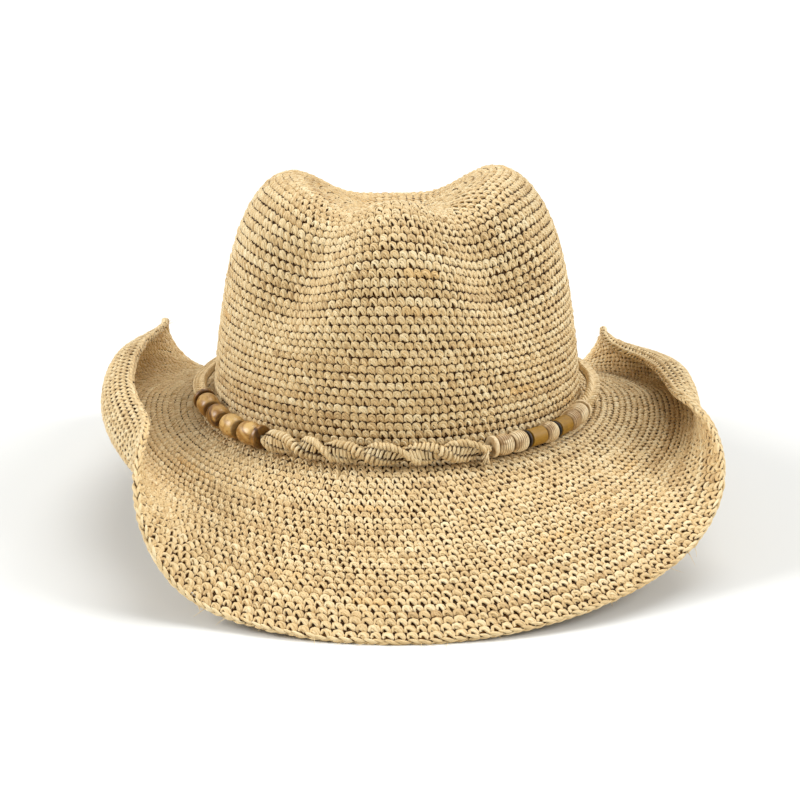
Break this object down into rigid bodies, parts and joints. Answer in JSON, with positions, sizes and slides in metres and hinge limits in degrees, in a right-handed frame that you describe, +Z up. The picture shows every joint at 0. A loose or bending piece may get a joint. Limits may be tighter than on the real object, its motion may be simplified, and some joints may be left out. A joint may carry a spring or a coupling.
{
  "type": "cowboy hat",
  "caption": "Crocheted raffia cowboy hat with a creased crown, rolled wired brim, sweatband and a braided hatband strung with turning beads.",
  "frame": {"origin": "on the table, under the centre of the hat's outline", "axes": "+Y from the front of the brim to the back, +Z up out of the crown, +X to the right as the front is looked at"},
  "size_m": [0.2694, 0.3662, 0.1507],
  "materials": {
    "raffia": "crocheted natural raffia, matt with a faint straw sheen",
    "raffia_cord": "knotted natural raffia cord",
    "wire": "drawn wire",
    "cotton": "woven cotton tape",
    "wood": "polished brown wood",
    "light_wood": "polished olive wood",
    "cream": "pale turned wood with fine grooves",
    "dark": "dark stained wood"
  },
  "bodies": {
    "hat": {"crown": "raffia", "brim": "raffia", "brim_edging": "raffia", "brim_wire": "wire", "sweatband": "cotton"},
    "hatband": {"front_braid": "raffia_cord", "left_bead_cord": "raffia_cord", "right_bead_cord": "raffia_cord", "left_braid": "raffia_cord", "right_braid": "raffia_cord", "back_knot": "raffia_cord"},
    "wood_disc_front": {"wood_disc_front": "wood"},
    "wood_bead_1": {"wood_bead_1": "wood"},
    "wood_bead_2": {"wood_bead_2": "wood"},
    "wood_bead_3": {"wood_bead_3": "wood"},
    "wood_bead_4": {"wood_bead_4": "wood"},
    "wood_disc_back": {"wood_disc_back": "wood"},
    "cream_disc_front": {"cream_disc_front": "cream"},
    "cream_bead_1": {"cream_bead_1": "cream"},
    "cream_bead_2": {"cream_bead_2": "cream"},
    "dark_disc_1": {"dark_disc_1": "dark"},
    "wood_tube_1": {"wood_tube_1": "light_wood"},
    "cream_bead_3": {"cream_bead_3": "cream"},
    "dark_disc_2": {"dark_disc_2": "dark"},
    "wood_tube_2": {"wood_tube_2": "light_wood"},
    "cream_bead_4": {"cream_bead_4": "cream"},
    "cream_bead_5": {"cream_bead_5": "cream"},
    "cream_disc_back": {"cream_disc_back": "cream"}
  },
  "joints": [
    {"name": "hatband_lift", "type": "slide", "parent": "hat", "child": "hatband", "axis": [0, 0, 1], "range_m": [0, 0.12]},
    {"name": "wood_disc_front_spin", "type": "hinge", "parent": "hatband", "child": "wood_disc_front", "pos_m": [-0.05812, -0.08425, 0.05021], "axis": [-0.7372, 0.6755, 0.0152], "continuous": true},
    {"name": "wood_bead_1_spin", "type": "hinge", "parent": "hatband", "child": "wood_bead_1", "pos_m": [-0.06267, -0.07961, 0.05032], "axis": [-0.69, 0.7237, 0.016], "continuous": true},
    {"name": "wood_bead_2_spin", "type": "hinge", "parent": "hatband", "child": "wood_bead_2", "pos_m": [-0.07105, -0.0696, 0.05072], "axis": [-0.5901, 0.8055, 0.0539], "continuous": true},
    {"name": "wood_bead_3_spin", "type": "hinge", "parent": "hatband", "child": "wood_bead_3", "pos_m": [-0.07807, -0.05868, 0.05184], "axis": [-0.4858, 0.8663, 0.116], "continuous": true},
    {"name": "wood_bead_4_spin", "type": "hinge", "parent": "hatband", "child": "wood_bead_4", "pos_m": [-0.08376, -0.047, 0.05357], "axis": [-0.3815, 0.913, 0.1443], "continuous": true},
    {"name": "wood_disc_back_spin", "type": "hinge", "parent": "hatband", "child": "wood_disc_back", "pos_m": [-0.08616, -0.04105, 0.05451], "axis": [-0.3304, 0.9322, 0.1476], "continuous": true},
    {"name": "cream_disc_front_spin", "type": "hinge", "parent": "hatband", "child": "cream_disc_front", "pos_m": [0.03768, -0.09628, 0.04961], "axis": [0.872, 0.4894, 0.0072], "continuous": true},
    {"name": "cream_bead_1_spin", "type": "hinge", "parent": "hatband", "child": "cream_bead_1", "pos_m": [0.04202, -0.09359, 0.04965], "axis": [0.8421, 0.5392, 0.0087], "continuous": true},
    {"name": "cream_bead_2_spin", "type": "hinge", "parent": "hatband", "child": "cream_bead_2", "pos_m": [0.04834, -0.08915, 0.04973], "axis": [0.793, 0.6091, 0.011], "continuous": true},
    {"name": "dark_disc_1_spin", "type": "hinge", "parent": "hatband", "child": "dark_disc_1", "pos_m": [0.05208, -0.08621, 0.04978], "axis": [0.7609, 0.6487, 0.0124], "continuous": true},
    {"name": "wood_tube_1_spin", "type": "hinge", "parent": "hatband", "child": "wood_tube_1", "pos_m": [0.05605, -0.0825, 0.04986], "axis": [0.7229, 0.6909, 0.014], "continuous": true},
    {"name": "cream_bead_3_spin", "type": "hinge", "parent": "hatband", "child": "cream_bead_3", "pos_m": [0.06191, -0.07644, 0.04998], "axis": [0.6607, 0.7505, 0.0156], "continuous": true},
    {"name": "dark_disc_2_spin", "type": "hinge", "parent": "hatband", "child": "dark_disc_2", "pos_m": [0.06501, -0.07284, 0.05006], "axis": [0.6243, 0.7808, 0.0245], "continuous": true},
    {"name": "wood_tube_2_spin", "type": "hinge", "parent": "hatband", "child": "wood_tube_2", "pos_m": [0.06823, -0.06844, 0.05035], "axis": [0.5814, 0.8114, 0.0599], "continuous": true},
    {"name": "cream_bead_4_spin", "type": "hinge", "parent": "hatband", "child": "cream_bead_4", "pos_m": [0.0729, -0.06138, 0.05103], "axis": [0.513, 0.8522, 0.1028], "continuous": true},
    {"name": "cream_bead_5_spin", "type": "hinge", "parent": "hatband", "child": "cream_bead_5", "pos_m": [0.07667, -0.05459, 0.05194], "axis": [0.4502, 0.8836, 0.1288], "continuous": true},
    {"name": "cream_disc_back_spin", "type": "hinge", "parent": "hatband", "child": "cream_disc_back", "pos_m": [0.07891, -0.05007, 0.05261], "axis": [0.4095, 0.9016, 0.1396], "continuous": true}
  ]
}
